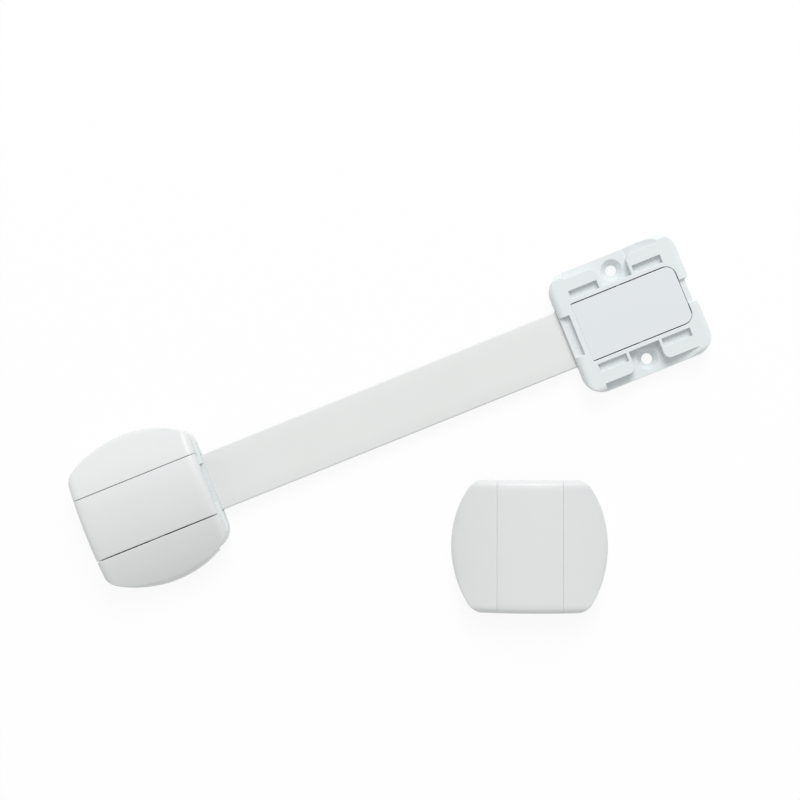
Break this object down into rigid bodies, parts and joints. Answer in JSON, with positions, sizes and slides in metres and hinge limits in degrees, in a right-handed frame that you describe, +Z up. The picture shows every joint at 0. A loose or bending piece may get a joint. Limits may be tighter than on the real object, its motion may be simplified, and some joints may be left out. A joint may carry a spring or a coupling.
{
  "type": "cabinet strap lock",
  "caption": "Flat strap joining two latch bases, with a push-button cover clipped on one base and its twin cover lying beside it, for holding a cabinet door or drawer shut.",
  "frame": {"origin": "middle of the underside of the right base's foam pad", "axes": "+X along the strap from the left base to the right base, +Y across the strap, +Z up from the surface that the pads stick to"},
  "size_m": [0.199, 0.1024, 0.0126],
  "materials": {
    "strap_plastic": "satin, flexible",
    "base_plastic": "satin moulded",
    "cover_plastic": "fine satin",
    "foam": "closed-cell foam tape",
    "steel": "plain wire"
  },
  "bodies": {
    "lock": {"strap": "strap_plastic", "right_base": "base_plastic", "right_pad": "foam", "right_pivot": "steel", "right_spring": "steel", "left_base": "base_plastic", "left_pad": "foam", "left_pivot": "steel", "left_spring": "steel"},
    "right_latch": {"right_latch": "base_plastic"},
    "left_latch": {"left_latch": "base_plastic"},
    "right_cover": {"right_cover": "cover_plastic"},
    "right_button": {"right_button": "cover_plastic"},
    "left_cover": {"left_cover": "cover_plastic"},
    "left_button": {"left_button": "cover_plastic"}
  },
  "joints": [
    {"name": "right_latch_rock", "type": "hinge", "parent": "lock", "child": "right_latch", "pos_m": [0, 0, 0.0044], "axis": [0, 1, 0], "range_deg": [0, 6.15], "stiffness_Nm_per_rad": 0.05, "springref_deg": -2.86, "deforming": ["right_spring"]},
    {"name": "left_cover_lift", "type": "slide", "parent": "lock", "child": "left_cover", "axis": [0, 0, 1], "range_m": [0, 0.02]},
    {"name": "left_button_press", "type": "slide", "parent": "left_cover", "child": "left_button", "axis": [0, 0, -1], "range_m": [0, 0.0014], "stiffness_N_per_m": 400, "springref_m": -0.0005},
    {"name": "left_latch_rock", "type": "hinge", "parent": "lock", "child": "left_latch", "pos_m": [-0.158, 0, 0.0044], "axis": [0, -1, 0], "range_deg": [0, 6.16], "stiffness_Nm_per_rad": 0.05, "springref_deg": -2.86, "deforming": ["left_spring"]},
    {"name": "right_cover_lift", "type": "slide", "parent": "lock", "child": "right_cover", "axis": [0, 0, 1], "range_m": [0, 0.03]},
    {"name": "right_button_press", "type": "slide", "parent": "right_cover", "child": "right_button", "axis": [0, 0, -1], "range_m": [0, 0.0014], "stiffness_N_per_m": 400, "springref_m": -0.0005}
  ],
  "couplings": [
    {"joint": "left_latch_rock", "follows": "left_button_press", "rad_per_m": 76.67}
  ]
}
